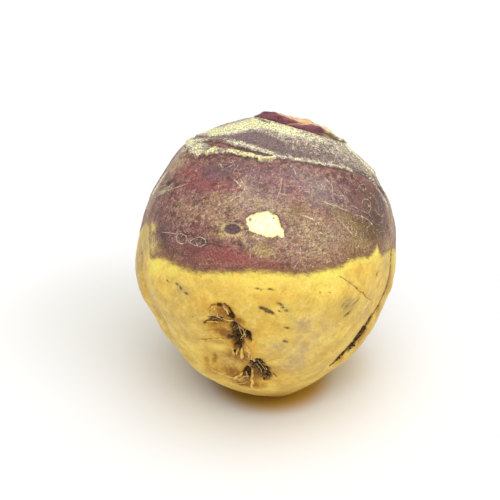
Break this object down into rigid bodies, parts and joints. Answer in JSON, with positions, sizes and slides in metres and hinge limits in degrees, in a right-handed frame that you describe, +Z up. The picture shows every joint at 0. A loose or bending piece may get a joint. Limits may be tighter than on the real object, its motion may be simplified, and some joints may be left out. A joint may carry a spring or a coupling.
{
  "type": "rutabaga",
  "caption": "Trimmed rutabaga root, purple above and yellow below, with cut leaf bases on its crown, side root stubs and a small flat resting spot.",
  "frame": {"origin": "on the surface that the root rests on, under the middle of its own box", "axes": "+Z up; the growth axis leans 19 degrees from +Z towards +Y and 10 degrees towards +X, with the crown on top and the two hollows with side roots facing -Y"},
  "size_m": [0.118, 0.1172, 0.1271],
  "materials": {
    "root_skin": "thin waxy root skin, maroon purple above and yellow below, dull satin",
    "leaf_base": "smooth purple rind with cream cut faces",
    "dried_heart": "dry corky pith",
    "rootlet": "dry fibrous root, matte"
  },
  "bodies": {
    "root": {"root_body": "root_skin", "leaf_base_1": "leaf_base", "leaf_base_2": "leaf_base", "leaf_base_3": "leaf_base", "leaf_base_4": "leaf_base", "leaf_base_5": "leaf_base", "leaf_base_6": "leaf_base", "leaf_base_7": "leaf_base", "leaf_base_8": "leaf_base", "leaf_base_9": "leaf_base", "crown_heart": "dried_heart", "side_root_1": "rootlet", "side_root_2": "rootlet", "side_root_3": "rootlet", "side_root_4": "rootlet", "side_root_5": "rootlet", "side_root_6": "rootlet"}
  },
  "joints": []
}
